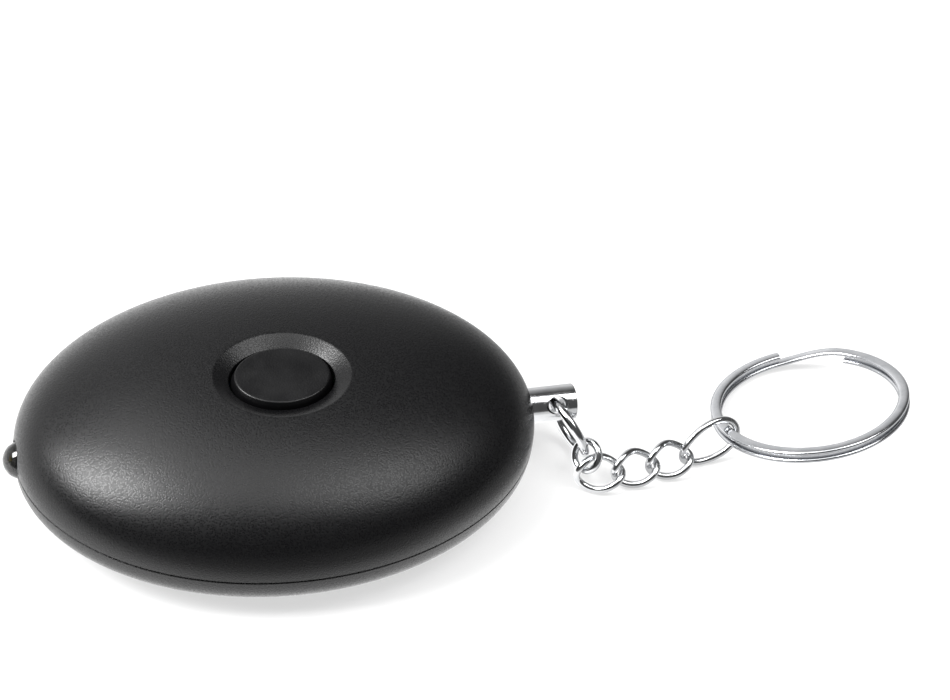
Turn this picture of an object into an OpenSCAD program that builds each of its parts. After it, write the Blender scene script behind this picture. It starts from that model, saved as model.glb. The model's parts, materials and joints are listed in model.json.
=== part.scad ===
// Oval personal safety alarm with a torch button, a pull pin and a key chain.
// All sizes are in millimetres. The origin is the centre of the flat base, with the long axis along X.

/* [Body] */
// Length of the oval body
body_length = 68; // [66:0.5:76]
// Width of the oval body
body_width = 49; // [48:0.5:56]
// Height of the crown above the parting line
upper_height = 11.5; // [11:0.1:14]
// Height of the parting line above the base
lower_height = 8; // [7.6:0.1:10]
// Depth that the belly would reach if the base were not flat, beyond the base
belly_cut = 0.5; // [0.3:0.05:0.8]
// Fullness of the crown's profile, 2 is an ellipse
upper_power = 2.4; // [2.3:0.05:3]
// Fullness of the belly's profile, 2 is an ellipse
lower_power = 2.9; // [2.6:0.05:3.2]
// Wall of both shells
wall = 1.8; // [1.4:0.1:2]
// Chamfer on both edges of the parting line
seam_chamfer = 0.3; // [0.1:0.05:0.4]
// Height of the tongue on the lower shell
tongue_height = 1.2; // [0.8:0.1:1.6]
// Thickness of that tongue
tongue_wall = 0.8; // [0.6:0.05:0.9]

/* [Button recess] */
// Half length of the recess at its rim
recess_half_length = 8.85; // [8.4:0.05:9.2]
// Half width of the recess at its rim
recess_half_width = 7.3; // [7:0.05:7.6]
// Depth of the recess
recess_depth = 1; // [0.8:0.05:1.3]
// Half length of the button opening
opening_half_length = 6.8; // [6.6:0.05:7]
// Half width of the button opening
opening_half_width = 5.2; // [5:0.05:5.4]
// Thickness of the roof round the button opening
roof_wall = 1.5; // [1.2:0.1:1.8]

/* [Torch button] */
// Gap all round between the button and its opening
button_gap = 0.3; // [0.2:0.05:0.4]
// How far the button's top lies below the recess's rim
button_drop = 0.25; // [0:0.05:0.5]
// Rounding of the button's top edge
button_edge = 0.45; // [0.2:0.05:0.6]
// Thickness of the button's top
button_cap = 1.4; // [1:0.1:1.6]
// Travel of the button
button_travel = 0.5; // [0.3:0.05:0.6]
// Thickness of the flange that keeps the button in
flange_height = 0.8; // [0.6:0.05:1]
// How far the flange reaches past the button's wall
flange_reach = 1; // [0.8:0.05:1.2]

/* [Torch lamp] */
// Diameter of the lamp, a standard 5 mm lamp
lamp_d = 5; // [4.8:0.1:5.2]
// How far the lamp's tip stands out of the body
lamp_proud = 1.45; // [1:0.05:2]
// Length of the lamp from tip to back
lamp_length = 8; // [7.6:0.1:8.6]
// Diameter of the lamp's flange
lamp_flange_d = 5.8; // [5.6:0.1:6]
// Distance between the lamp's two leads
lead_pitch = 2.54; // [2:0.02:3]
// Diameter of a lead
lead_d = 0.5; // [0.4:0.05:0.6]

/* [Pull pin] */
// Diameter of the pin
pin_d = 4.8; // [4.6:0.1:5]
// How far the pin stands out of the body
pin_proud = 6; // [5.9:0.05:6.6]
// Distance of the cross hole from the pin's outer end
cross_hole_inset = 2.75; // [2.4:0.05:2.9]
// Diameter of the cross hole
cross_hole_d = 2.3; // [2.2:0.05:2.4]
// Slope of the cross hole above the horizontal
cross_hole_slope = 40; // [30:1:50]
// Length of the socket that guides the pin
socket_length = 5.5; // [5:0.1:6]
// Outer diameter of the socket
socket_d = 6.8; // [6.4:0.1:7.2]
// Depth of the socket's mouth behind the body's end
socket_inset = 4; // [3.8:0.1:4.4]
// Diameter of the insulating tip
tip_d = 2.4; // [2:0.1:2.8]
// Length of the insulating tip
tip_length = 3.2; // [2.8:0.1:3.4]

/* [Chain] */
// Wire of the jump ring
jump_wire = 1.2; // [1.1:0.05:1.3]
// Outer diameter of the jump ring
jump_d = 9.6; // [9.4:0.05:9.75]
// Swing of the jump ring from the pin's axis, at rest
jump_swing = 63; // [61:0.5:65]
// Wire of the small ring and the links
link_wire = 0.95; // [0.85:0.05:1]
// Outer diameter of the small connector ring
connector_d = 4.9; // [4.8:0.05:5.1]
// Outer length of a chain link
link_length = 7.15; // [7:0.05:7.6]
// Outer width of a chain link
link_width = 5.4; // [5.2:0.05:5.6]
// Outer length of the end link
end_link_length = 9.5; // [9.4:0.05:9.7]
// Outer width of the end link
end_link_width = 6.55; // [6.45:0.05:6.7]
// Slack between two links
link_slack = 0.2; // [0.15:0.01:0.3]

/* [Split ring] */
// Outer diameter of the split ring
ring_d = 27; // [26:0.5:28]
// Width of its flat wire
ring_wire_width = 1.5; // [1.3:0.05:1.6]
// Thickness of its flat wire
ring_wire_height = 0.7; // [0.6:0.02:0.8]
// Gap between its two turns
ring_gap = 0.44; // [0.42:0.02:0.5]
// Tilt of the ring, front side up
ring_tilt_front = 19.5; // [19:0.25:20]
// Tilt of the ring, right side up
ring_tilt_right = 10.5; // [10:0.5:11]

/* [Inside] */
// Diameter of a button cell
cell_d = 11.6; // [11.4:0.1:11.8]
// Height of a button cell
cell_height = 5.4; // [5.2:0.1:5.5]
// Number of button cells
cell_count = 3; // [3:1:3]
// Room left of the piezo plate to the belly and right of it to the battery tray
piezo_room = 3.48; // [3.2:0.02:4]
// Diameter of the ceramic as a share of the piezo plate
ceramic_share = 0.7; // [0.6:0.01:0.75]
// Thickness of the circuit board
board_height = 1; // [0.8:0.1:1.2]
// Gap between the circuit board and what stands beside it
board_gap = 0.3; // [0.2:0.05:0.4]
// Diameter of the case screws' heads
screw_head_d = 4; // [3.6:0.1:4.2]
// Diameter of the case screws' shanks
screw_shank_d = 1.9; // [1.7:0.1:2.1]
// Diameter of the sound holes in the base
sound_hole_d = 2; // [1.6:0.1:2.4]

/* [Hidden] */

// Clearances
running_gap = 0.05;
fit_gap = 0.1;
slide_gap = 0.3;
seat_gap = 0.02;
overrun = 1;

// Finish of curves
full_turn = 360;
half_turn = 180;
$fn = 64;
shell_sides = 48;
shell_steps = 11;
link_sides = 8;
wire_sides = 6;
link_rings = 32;

// Main places of the body
half_length = body_length / 2;
half_width = body_width / 2;
parting_z = lower_height;
belly = lower_height + belly_cut;
floor_z = wall;

// Height of the inset dome above the parting line, at a place in plan
function share(x, y, inset) = sqrt(pow(x / (half_length - inset), 2) + pow(y / (half_width - inset), 2));
function arch(share, power) = pow(max(0, 1 - pow(share, power)), 1 / power);
function roof_at(x, y, inset) = parting_z + (upper_height - inset) * arch(share(x, y, inset), upper_power);

// Heights under the button
rim_z = roof_at(recess_half_length, 0, 0);
recess_z = rim_z - recess_depth;
roof_under = recess_z - roof_wall;
button_top = rim_z - button_drop;
flange_top = roof_under - fit_gap;
button_half_length = opening_half_length - button_gap;
button_half_width = opening_half_width - button_gap;
plunger_height = 1.7;
plunger_d = 3.4;
plunger_nest = 0.2;
plunger_top = flange_top - flange_height + plunger_nest;
switch_height = 2.6;
switch_width = 6;
switch_top = plunger_top - plunger_height;
board_top = switch_top - switch_height;
board_under = board_top - board_height;
stem_d = 4;
button_wall = 1.2;
lip_reach_x = 2.6;
lip_reach_y = 2.7;

// Lamp
lamp_tip = -half_length - lamp_proud;
lamp_back = lamp_tip + lamp_length;
lamp_flange = 1;
saddle_wall = 1.6;
saddle_x = lamp_back - lamp_flange - fit_gap - saddle_wall;
saddle_half_width = 4;

// Pull pin and its socket
socket_mouth = half_length - socket_inset;
socket_back = socket_mouth - socket_length;
pin_end = half_length + pin_proud;
cross_hole_x = pin_end - cross_hole_inset;
pin_chamfer = 0.3;
cross_hole_dir = [0, -cos(cross_hole_slope), sin(cross_hole_slope)];
socket_rib = 2;
socket_rib_inset = 1.5;
socket_rib_x = socket_back + socket_rib_inset;
socket_rib_side = 1;
socket_rib_half_width = socket_d / 2 + socket_rib_side;
leaf_height = 0.25;
leaf_width = 2.8;
leaf_overlap = 0.3;
leaf_length = tip_length + leaf_overlap;
leaf_foot = 1.9;

// Cells and their tray
cell_gap = 0.05;
plate_wall = 0.4;
plate_size = 8;
spring_height = 2.1;
tray_wall = 0.8;
tray_side = 0.7;
tray_gap = 0.7;
cells_length = cell_count * cell_height + (cell_count - 1) * cell_gap;
stack_length = 2 * plate_wall + spring_height + cells_length + 2 * cell_gap;
tray_half_width = cell_d / 2 + fit_gap + tray_side;
tray_x = socket_back - tip_length - tray_gap - tray_half_width;
cell_rise = 1.7;
cell_z = parting_z + cell_rise;
tray_under = cell_z - tray_half_width;
tray_rise = 1;
tray_top = parting_z + tray_rise;
tray_rib = 1.2;
tray_rib_share = 0.7;
tray_half_length = stack_length / 2 + tray_wall;
cells_start = -stack_length / 2 + plate_wall + spring_height + cell_gap;

// Piezo sounder on the base, between the belly and the tray
piezo_ledge = 1.2;
piezo_ring_wall = 2;
foam_height = 0.4;
plate_height = 0.3;
ceramic_height = 0.25;
foam_z = floor_z + piezo_ledge;
brass_z = foam_z + foam_height;
ceramic_z = brass_z + plate_height;
belly_end = -(half_length - wall) * arch((parting_z - foam_z) / (belly - wall), lower_power);
tray_end = tray_x - tray_half_width;
piezo_x = (belly_end + tray_end) / 2;
piezo_d = tray_end - belly_end - 2 * piezo_room;
ceramic_d = ceramic_share * piezo_d;
sound_ring = piezo_d / 5.4;
sound_count = 6;

// Case screws: one pair beside the piezo plate, the other between the tray and the socket
boss_d = 6;
post_boss_d = 5.2;
boss_gap = 0.6;
boss_turn = 142;
boss_ring = piezo_d / 2 + boss_d / 2 + boss_gap;
left_boss = [piezo_x + boss_ring * cos(boss_turn), boss_ring * sin(boss_turn)];
tray_boss_gap = 0.9;
socket_boss_gap = 2.1;
right_boss = [
  tray_x + tray_half_width + boss_d / 2 + tray_boss_gap,
  socket_d / 2 + boss_d / 2 + socket_boss_gap
];
screw_places = [for (p = [left_boss, right_boss], side = [-1, 1]) [p[0], side * p[1]]];
head_height = 1.6;
head_depth = 4;
head_seat = parting_z - head_depth;
screw_reach = 5.4;
pilot_gap = 0.05;

// Circuit board between the lamp and the tray, with its pieces on a layout grid
lead_room = 3.4;
lead_inset = 1.5;
lead_hole_gap = 0.3;
board_end_gap = 0.8;
board_left = lamp_back + lead_room;
board_right = tray_end - board_end_gap;
board_width = 2 * (left_boss[1] - post_boss_d / 2 - board_gap);
grid_columns = 30;
grid_rows = 15;
grid = min((board_right - board_left) / grid_columns, board_width / grid_rows);
lead_x = board_left + lead_inset;
lead_hole_d = lead_d + lead_hole_gap;
lead_tail = 0.4;
post_d = 3.6;
function on_grid(column, row) = [board_left + column * grid, row * grid];
board_posts = [on_grid(3.5, 5), on_grid(15, -5.5)];
board_screw_d = 1.4;
board_screw_head_d = 2.8;
board_screw_head = 1;
board_screw_length = 3;
coil_roof_gap = 0.5;

// Small notch in the upper shell's edge, where the shells are prised apart
notch_angle = 155;
notch_width = 3;
notch_height = 0.9;
notch_depth = 0.8;

// Plane oval of the body at an angle
function oval(rx, ry, z, i) =
  [rx * cos(full_turn * i / shell_sides), ry * sin(full_turn * i / shell_sides), z];

// Half of a full profile from the parting line towards the axis, as shares of radius and height
function dome_share(t, power) = [pow(cos(t), 2 / power), pow(sin(t), 2 / power)];
function dome_angle(r, power) = acos(pow(r, power / 2));
function dome_rings(rise, power, inset, first, last, sign) = [
  for (i = [0:shell_steps])
    let (t = first + (last - first) * pow(i / shell_steps, 1.3), s = dome_share(t, power))
      [(half_length - inset) * s[0], (half_width - inset) * s[0], parting_z + sign * (rise - inset) * s[1]]
];
function reversed(list) = [for (i = [len(list) - 1:-1:0]) list[i]];

// Closed skin over a loop of oval rings
module oval_loop(rings) {
  n = shell_sides;
  m = len(rings);
  points = [for (r = rings, i = [0:n - 1]) oval(r[0], r[1], r[2], i)];
  faces = [
    for (k = [0:m - 1], i = [0:n - 1], half = [0, 1])
      let (a = k * n, b = ((k + 1) % m) * n, j = (i + 1) % n)
        half == 0 ? [a + i, b + i, b + j] : [a + i, b + j, a + j]
  ];
  polyhedron(points, faces, convexity = 8);
}

// Closed skin over oval rings that end on the axis below and above
module oval_stack(low, rings, high) {
  n = shell_sides;
  m = len(rings);
  body = [for (r = rings, i = [0:n - 1]) oval(r[0], r[1], r[2], i)];
  points = concat(body, [[0, 0, low], [0, 0, high]]);
  sides = [
    for (k = [0:m - 2], i = [0:n - 1], half = [0, 1])
      let (a = k * n, b = a + n, j = (i + 1) % n)
        half == 0 ? [a + i, b + i, b + j] : [a + i, b + j, a + j]
  ];
  caps = [
    for (i = [0:n - 1], end = [0, 1])
      let (a = (m - 1) * n, j = (i + 1) % n)
        end == 0 ? [n * m, i, j] : [n * m + 1, a + j, a + i]
  ];
  polyhedron(points, concat(sides, caps), convexity = 8);
}

// Straight round bar along X, or along Y
module bar_x(d, x0, x1) {
  translate([x0, 0, 0])
    rotate([0, 90, 0])
      cylinder(d = d, h = x1 - x0);
}
module bar_y(d, y0, y1) {
  translate([0, y1, 0])
    rotate([90, 0, 0])
      cylinder(d = d, h = y1 - y0);
}

// Frame of two directions at a place
module placed(at, ex, ey) {
  ez = cross(ex, ey);
  multmatrix([
    [ex[0], ey[0], ez[0], at[0]],
    [ex[1], ey[1], ez[1], at[1]],
    [ex[2], ey[2], ez[2], at[2]],
    [0, 0, 0, 1]
  ])
    children();
}
function unit(v) = v / norm(v);

// Skin round a path: rings of points, closed on itself or capped at both ends
module tube_skin(rings, closed) {
  n = len(rings[0]);
  m = len(rings);
  points = [for (r = rings) each r];
  last = closed ? m - 1 : m - 2;
  sides = [
    for (k = [0:last], i = [0:n - 1], half = [0, 1])
      let (a = k * n, b = ((k + 1) % m) * n, j = (i + 1) % n)
        half == 0 ? [a + i, b + i, b + j] : [a + i, b + j, a + j]
  ];
  caps = closed ? [] : [
    for (i = [1:n - 2], end = [0, 1])
      let (a = (m - 1) * n)
        end == 0 ? [0, i, i + 1] : [a, a + i + 1, a + i]
  ];
  polyhedron(points, concat(sides, caps), convexity = 8);
}

// Ring of a round wire at a place on a path, set out from a direction that is not along it
function wire_ring(at, along, away, r, sides) =
  let (t = unit(along), n = unit(away - t * (away * t)), b = cross(n, t))
    [for (i = [0:sides - 1]) at + r * cos(full_turn * i / sides) * n + r * sin(full_turn * i / sides) * b];

// Upper shell
module upper_shell_skin() {
  rim_share = 0.36;
  lip_share = 0.42;
  outer_end = dome_angle(rim_share, upper_power);
  rabbet = wall - tongue_wall - fit_gap;
  inner_end = dome_angle(lip_share, upper_power);
  tongue_angle = asin(pow(tongue_height / (upper_height - wall), upper_power / 2));
  chamfer_angle = asin(pow(seam_chamfer / upper_height, upper_power / 2));
  lip_half_length = opening_half_length + lip_reach_x;
  lip_half_width = opening_half_width + lip_reach_y;
  lip_top = roof_at(lip_half_length, 0, wall);
  outside = dome_rings(upper_height, upper_power, 0, chamfer_angle, outer_end, 1);
  inside = reversed(dome_rings(upper_height, upper_power, wall, tongue_angle, inner_end, 1));
  oval_loop(concat(
    [[half_length - seam_chamfer, half_width - seam_chamfer, parting_z]],
    outside,
    [
      [recess_half_length, recess_half_width, rim_z],
      [opening_half_length, opening_half_width, recess_z],
      [opening_half_length, opening_half_width, roof_under],
      [lip_half_length, lip_half_width, roof_under],
      [lip_half_length, lip_half_width, lip_top]
    ],
    inside,
    [
      [half_length - rabbet, half_width - rabbet, parting_z + tongue_height],
      [half_length - rabbet, half_width - rabbet, parting_z]
    ]
  ));
}

// Solid inside half of a shell's wall, which every boss and rib ends in
module crown_core() {
  last_angle = 89;
  rings = dome_rings(upper_height, upper_power, wall / 2, 0, last_angle, 1);
  oval_stack(parting_z, rings, parting_z + upper_height - wall / 2);
}

module belly_core() {
  base_share = arch((lower_height - wall / 2) / (belly - wall / 2), lower_power);
  rings = reversed(dome_rings(belly, lower_power, wall / 2, 0, dome_angle(base_share, lower_power), -1));
  oval_stack(wall / 2, rings, parting_z);
}

module upper_shell() {
  color("#2b2b2c")
    difference() {
      union() {
        upper_shell_skin();
        intersection() {
          crown_core();
          union() {
            for (p = screw_places)
              translate([p[0], p[1], parting_z])
                cylinder(d = post_boss_d, h = upper_height);
            for (p = board_posts)
              translate([p[0], p[1], board_top])
                cylinder(d = post_d, h = upper_height);
            translate([saddle_x, -saddle_half_width, parting_z])
              cube([saddle_wall, 2 * saddle_half_width, upper_height]);
            translate([socket_rib_x, -socket_rib_half_width, parting_z])
              cube([socket_rib, 2 * socket_rib_half_width, upper_height]);
          }
        }
      }
      translate([0, 0, parting_z])
        bar_x(lamp_d + 2 * fit_gap, lamp_tip - overrun, lamp_back - lamp_flange);
      translate([0, 0, parting_z])
        bar_x(socket_d + 2 * running_gap, socket_back - fit_gap, socket_mouth);
      translate([0, 0, parting_z])
        bar_x(pin_d + 2 * slide_gap, socket_back, half_length + overrun);
      for (p = screw_places)
        translate([p[0], p[1], parting_z - overrun])
          cylinder(d = screw_shank_d + 2 * pilot_gap, h = screw_reach + fit_gap + overrun);
      for (p = board_posts)
        translate([p[0], p[1], board_top - overrun])
          cylinder(d = board_screw_d + 2 * pilot_gap, h = board_screw_length + overrun);
      rotate([0, 0, atan2(half_width * sin(notch_angle), half_length * cos(notch_angle))])
        translate([norm([half_length * cos(notch_angle), half_width * sin(notch_angle)]), 0, parting_z])
          cube([2 * notch_depth, notch_width, 2 * notch_height], center = true);
    }
}

// Lower shell
module lower_shell_skin() {
  base_share = arch(lower_height / belly, lower_power);
  floor_share = arch((lower_height - wall) / (belly - wall), lower_power);
  chamfer_angle = asin(pow(seam_chamfer / belly, lower_power / 2));
  tongue_out = wall - tongue_wall;
  base_angle = dome_angle(base_share, lower_power);
  outside = reversed(dome_rings(belly, lower_power, 0, chamfer_angle, base_angle, -1));
  inside = dome_rings(belly, lower_power, wall, 0, dome_angle(floor_share, lower_power), -1);
  oval_stack(0, concat(
    outside,
    [
      [half_length - seam_chamfer, half_width - seam_chamfer, parting_z],
      [half_length - tongue_out, half_width - tongue_out, parting_z],
      [half_length - tongue_out, half_width - tongue_out, parting_z + tongue_height - fit_gap],
      [half_length - wall, half_width - wall, parting_z + tongue_height - fit_gap]
    ],
    inside
  ), floor_z);
}

// Rib across the floor, hollowed to carry the round tray
module tray_saddle(side) {
  half_rib = tray_rib_share * tray_half_width;
  top = cell_z - tray_rib_share * tray_half_width;
  difference() {
    translate([tray_x - half_rib, side * tray_half_length / 2 - tray_rib / 2, wall / 2])
      cube([2 * half_rib, tray_rib, top - wall / 2]);
    translate([tray_x, 0, cell_z])
      bar_y(2 * (tray_half_width + seat_gap), -tray_half_length, tray_half_length);
  }
}

module lower_shell() {
  color("#262627")
    difference() {
      union() {
        lower_shell_skin();
        intersection() {
          belly_core();
          union() {
            for (p = screw_places)
              translate([p[0], p[1], 0])
                cylinder(d = boss_d, h = parting_z);
            for (side = [-1, 1])
              tray_saddle(side);
            translate([saddle_x, -saddle_half_width, 0])
              cube([saddle_wall, 2 * saddle_half_width, parting_z]);
            translate([socket_rib_x, -socket_rib_half_width, 0])
              cube([socket_rib, 2 * socket_rib_half_width, parting_z]);
          }
        }
        translate([piezo_x, 0, wall / 2])
          difference() {
            cylinder(d = piezo_d, h = piezo_ledge + wall / 2);
            translate([0, 0, wall / 2])
              cylinder(d = piezo_d - 2 * piezo_ring_wall, h = piezo_ledge + overrun);
          }
      }
      translate([0, 0, parting_z])
        bar_x(lamp_d + 2 * fit_gap, lamp_tip - overrun, lamp_back - lamp_flange);
      translate([0, 0, parting_z])
        bar_x(socket_d + 2 * running_gap, socket_back - fit_gap, socket_mouth);
      translate([0, 0, parting_z])
        bar_x(pin_d + 2 * slide_gap, socket_back, half_length + overrun);
      for (p = screw_places) {
        translate([p[0], p[1], -overrun])
          cylinder(d = screw_head_d + 2 * fit_gap, h = head_seat + overrun);
        translate([p[0], p[1], 0])
          cylinder(d = screw_shank_d + 2 * fit_gap, h = parting_z + overrun);
      }
      for (i = [0:sound_count - 1])
        translate([piezo_x, 0, -overrun])
          rotate([0, 0, full_turn * i / sound_count])
            translate([sound_ring, 0, 0])
              cylinder(d = sound_hole_d, h = wall + 2 * overrun);
      translate([piezo_x, 0, -overrun])
        cylinder(d = sound_hole_d, h = wall + 2 * overrun);
    }
}

// Torch button: an oval cap with a flange below the roof and a stem on the switch
module torch_button() {
  rx = button_half_length;
  ry = button_half_width;
  steps = 3;
  edge = [
    for (i = [0:steps])
      let (t = 90 * i / steps, in = button_edge * (1 - cos(t)))
        [rx - in, ry - in, button_top - button_edge * (1 - sin(t))]
  ];
  hollow_x = rx - button_wall;
  hollow_y = ry - button_wall;
  cap_under = button_top - button_cap;
  color("#2d2d2e")
    union() {
      oval_stack(cap_under, concat(
        [
          [hollow_x, hollow_y, cap_under],
          [hollow_x, hollow_y, flange_top - flange_height],
          [rx + flange_reach, ry + flange_reach, flange_top - flange_height],
          [rx + flange_reach, ry + flange_reach, flange_top],
          [rx, ry, flange_top]
        ],
        edge
      ), button_top);
      translate([0, 0, plunger_top + seat_gap])
        cylinder(d = stem_d, h = cap_under + button_cap / 2 - plunger_top - seat_gap);
    }
}

// Tact switch under the button
module switch_plunger() {
  color("#1c1c1e")
    translate([0, 0, switch_top - switch_height / 2 + button_travel])
      cylinder(d = plunger_d, h = plunger_top - switch_top + switch_height / 2 - button_travel);
}

module switch_body() {
  pocket = switch_height / 2 + fit_gap;
  color("#b9bcc0")
    difference() {
      translate([-switch_width / 2, -switch_width / 2, board_top])
        cube([switch_width, switch_width, switch_height]);
      translate([0, 0, switch_top - pocket])
        cylinder(d = plunger_d + 2 * fit_gap, h = pocket + overrun);
    }
}

// Circuit board and what is soldered on it
module circuit_board() {
  color("#2f6b3c")
    difference() {
      translate([board_left, -board_width / 2, board_under])
        cube([board_right - board_left, board_width, board_height]);
      for (side = [-1, 1])
        translate([lead_x, side * lead_pitch / 2, board_under - overrun])
          cylinder(d = lead_hole_d, h = board_height + 2 * overrun);
      for (p = board_posts)
        translate([p[0], p[1], board_under - overrun])
          cylinder(d = board_screw_d + 2 * fit_gap, h = board_height + 2 * overrun);
    }
}

module chip_block(at, size) {
  translate([at[0] - size[0] / 2, at[1] - size[1] / 2, board_top])
    cube(size);
}

module driver_chip() {
  size = grid * [5, 4, 1.5];
  color("#1a1a1c")
    chip_block(on_grid(11.5, 2.5), size);
}

module transistor() {
  size = grid * [2.6, 1.6, 1.1];
  color("#202022")
    chip_block(on_grid(7.4, 4.8), size);
}

module boost_coil() {
  at = on_grid(8, -3.3);
  coil_r = 3.2 * grid;
  coil_edge = at * (1 + coil_r / norm(at));
  coil_height = roof_at(coil_edge[0], coil_edge[1], wall) - coil_roof_gap - board_top;
  rim = 0.6 * grid;
  core_r = coil_r - 0.8 * grid;
  color("#6b4a2c")
    translate([at[0], at[1], board_top])
      rotate_extrude()
        polygon([
          [0, 0], [coil_r, 0], [coil_r, rim], [core_r, rim],
          [core_r, coil_height - rim], [coil_r, coil_height - rim], [coil_r, coil_height], [0, coil_height]
        ]);
}

module capacitor() {
  at = on_grid(16.8, 5.3);
  color("#3a4d78")
    translate([at[0], at[1], board_top])
      cylinder(d = 4 * grid, h = 3.1 * grid);
}

module resistors() {
  size = grid * [2, 1.25, 0.6];
  color("#26262a")
    for (i = [0:2])
      chip_block(on_grid(12.5 + 2.8 * i, -2.4), size);
}

// Lamp at the parting line, with its two leads bent up into the board
module led_bulb() {
  r = lamp_d / 2;
  steps = 12;
  nose = [for (i = [0:steps]) let (t = 90 * i / steps) [r * sin(t), -lamp_tip - r + r * cos(t)]];
  color("#d9dde0")
    translate([0, 0, parting_z])
      rotate([0, -90, 0])
        rotate_extrude()
          polygon(concat(
            nose,
            [
              [r, -lamp_back + lamp_flange], [lamp_flange_d / 2, -lamp_back + lamp_flange],
              [lamp_flange_d / 2, -lamp_back], [0, -lamp_back]
            ]
          ));
}

module led_leads() {
  color("#b8babd")
    for (side = [-1, 1])
      translate([0, side * lead_pitch / 2, 0]) {
        translate([0, 0, parting_z])
          bar_x(lead_d, lamp_back + seat_gap, lead_x);
        translate([lead_x, 0, parting_z])
          sphere(d = lead_d);
        translate([lead_x, 0, parting_z])
          cylinder(d = lead_d, h = board_top + lead_tail - parting_z);
      }
}

// Piezo sounder
module piezo_foam() {
  color("#3b3b3d")
    translate([piezo_x, 0, foam_z])
      difference() {
        cylinder(d = piezo_d, h = foam_height);
        translate([0, 0, -overrun])
          cylinder(d = piezo_d - 2 * piezo_ring_wall, h = foam_height + 2 * overrun);
      }
}

module piezo_plate() {
  color("#c9a24a")
    translate([piezo_x, 0, brass_z])
      cylinder(d = piezo_d, h = plate_height);
}

module piezo_ceramic() {
  color("#e6e1d4")
    translate([piezo_x, 0, ceramic_z])
      cylinder(d = ceramic_d, h = ceramic_height);
}

// Cells in their tray, between a contact plate at each end
module button_cells() {
  color("#c3c6c9")
    for (i = [0:cell_count - 1])
      translate([tray_x, cells_start + i * (cell_height + cell_gap), cell_z])
        bar_y(cell_d, 0, cell_height);
}

// Round trough with an end wall at each end
module battery_tray() {
  color("#303032")
    difference() {
      intersection() {
        translate([tray_x, 0, cell_z])
          bar_y(2 * tray_half_width, -tray_half_length, tray_half_length);
        translate([tray_x - tray_half_width, -tray_half_length, tray_under])
          cube([2 * tray_half_width, 2 * tray_half_length, tray_top - tray_under]);
      }
      translate([tray_x, 0, cell_z])
        bar_y(cell_d + 2 * fit_gap, -stack_length / 2, stack_length / 2);
    }
}

module contact_plates() {
  color("#c8c9c4")
    for (y = [-stack_length / 2, stack_length / 2 - plate_wall])
      translate([tray_x - plate_size / 2, y, cell_z - plate_size / 2])
        cube([plate_size, plate_wall, plate_size]);
}

// Conical contact spring, one wire from the plate to the first cell
module contact_spring() {
  wire = 0.5;
  turns = 2;
  rings_per_turn = 16;
  wide = 3.4;
  narrow = 1.9;
  count = turns * rings_per_turn;
  start = -stack_length / 2 + plate_wall + wire / 2 + seat_gap;
  rise = spring_height - wire - 2 * seat_gap;
  path = [
    for (i = [0:count])
      let (t = full_turn * turns * i / count, r = wide + (narrow - wide) * i / count)
        [tray_x + r * cos(t), start + rise * i / count, cell_z + r * sin(t)]
  ];
  rings = [
    for (i = [0:count])
      let (before = path[max(0, i - 1)], after = path[min(count, i + 1)])
        wire_ring(path[i], after - before, path[i] - [tray_x, path[i][1], cell_z], wire / 2, wire_sides)
  ];
  gap = min([
    for (i = [0:count - rings_per_turn + 4], j = [i + rings_per_turn - 4:count])
      norm(path[i] - path[j])
  ]) - wire;
  echo(str("contact spring, least gap between turns: ", gap));
  color("#cfd2d4")
    tube_skin(rings, false);
}

// Socket of the pin, with the two contact leaves that the tip holds apart
module pin_socket() {
  color("#3a3a3c")
    translate([0, 0, parting_z])
      difference() {
        bar_x(socket_d, socket_back, socket_mouth);
        bar_x(pin_d + 2 * running_gap, socket_back - overrun, socket_mouth + overrun);
      }
}

module contact_leaf(side) {
  tip_side = tip_d / 2 + fit_gap;
  translate([0, 0, parting_z])
    mirror([0, 0, side < 0 ? 1 : 0]) {
      translate([socket_back - leaf_length, -leaf_width / 2, tip_side])
        cube([leaf_length, leaf_width, leaf_height]);
      translate([socket_back - leaf_height, -leaf_width / 2, tip_side])
        cube([leaf_height, leaf_width, leaf_foot]);
    }
}

module contact_leaf_upper() {
  color("#c9a24a")
    contact_leaf(1);
}

module contact_leaf_lower() {
  color("#c9a24a")
    contact_leaf(-1);
}

// Pull pin with its cross hole, and the insulating tip behind it
module pull_pin() {
  r = pin_d / 2;
  color("#c4c7ca")
    difference() {
      translate([0, 0, parting_z])
        rotate([0, 90, 0])
          rotate_extrude()
            polygon([
              [0, socket_back], [r - pin_chamfer, socket_back], [r, socket_back + pin_chamfer],
              [r, pin_end - pin_chamfer], [r - pin_chamfer, pin_end], [0, pin_end]
            ]);
      placed([cross_hole_x, 0, parting_z], [1, 0, 0], cross(cross_hole_dir, [1, 0, 0]))
        cylinder(d = cross_hole_d, h = pin_d + 2 * overrun, center = true);
    }
}

module pin_tip() {
  color("#e8e4da")
    translate([0, 0, parting_z])
      bar_x(tip_d, socket_back - tip_length, socket_back);
}

// Jump ring through the cross hole
jump_r = (jump_d - jump_wire) / 2;
hole_sag = (jump_r - sqrt(pow(jump_r, 2) - pow(pin_d / 2, 2))) / 2;
jump_down = [0, -sin(cross_hole_slope), -cos(cross_hole_slope)];
jump_out = cos(jump_swing) * [1, 0, 0] + sin(jump_swing) * jump_down;
cross_hole_at = [cross_hole_x, 0, parting_z];
jump_at = cross_hole_at + (jump_r - hole_sag) * jump_out;
jump_end = cross_hole_at + (2 * jump_r - hole_sag) * jump_out;

module torus(r, wire) {
  rotate_extrude()
    translate([r, 0])
      circle(d = wire);
}

module jump_ring() {
  color("#c9ccce")
    placed(jump_at, jump_out, cross_hole_dir)
      torus(jump_r, jump_wire);
}

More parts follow.
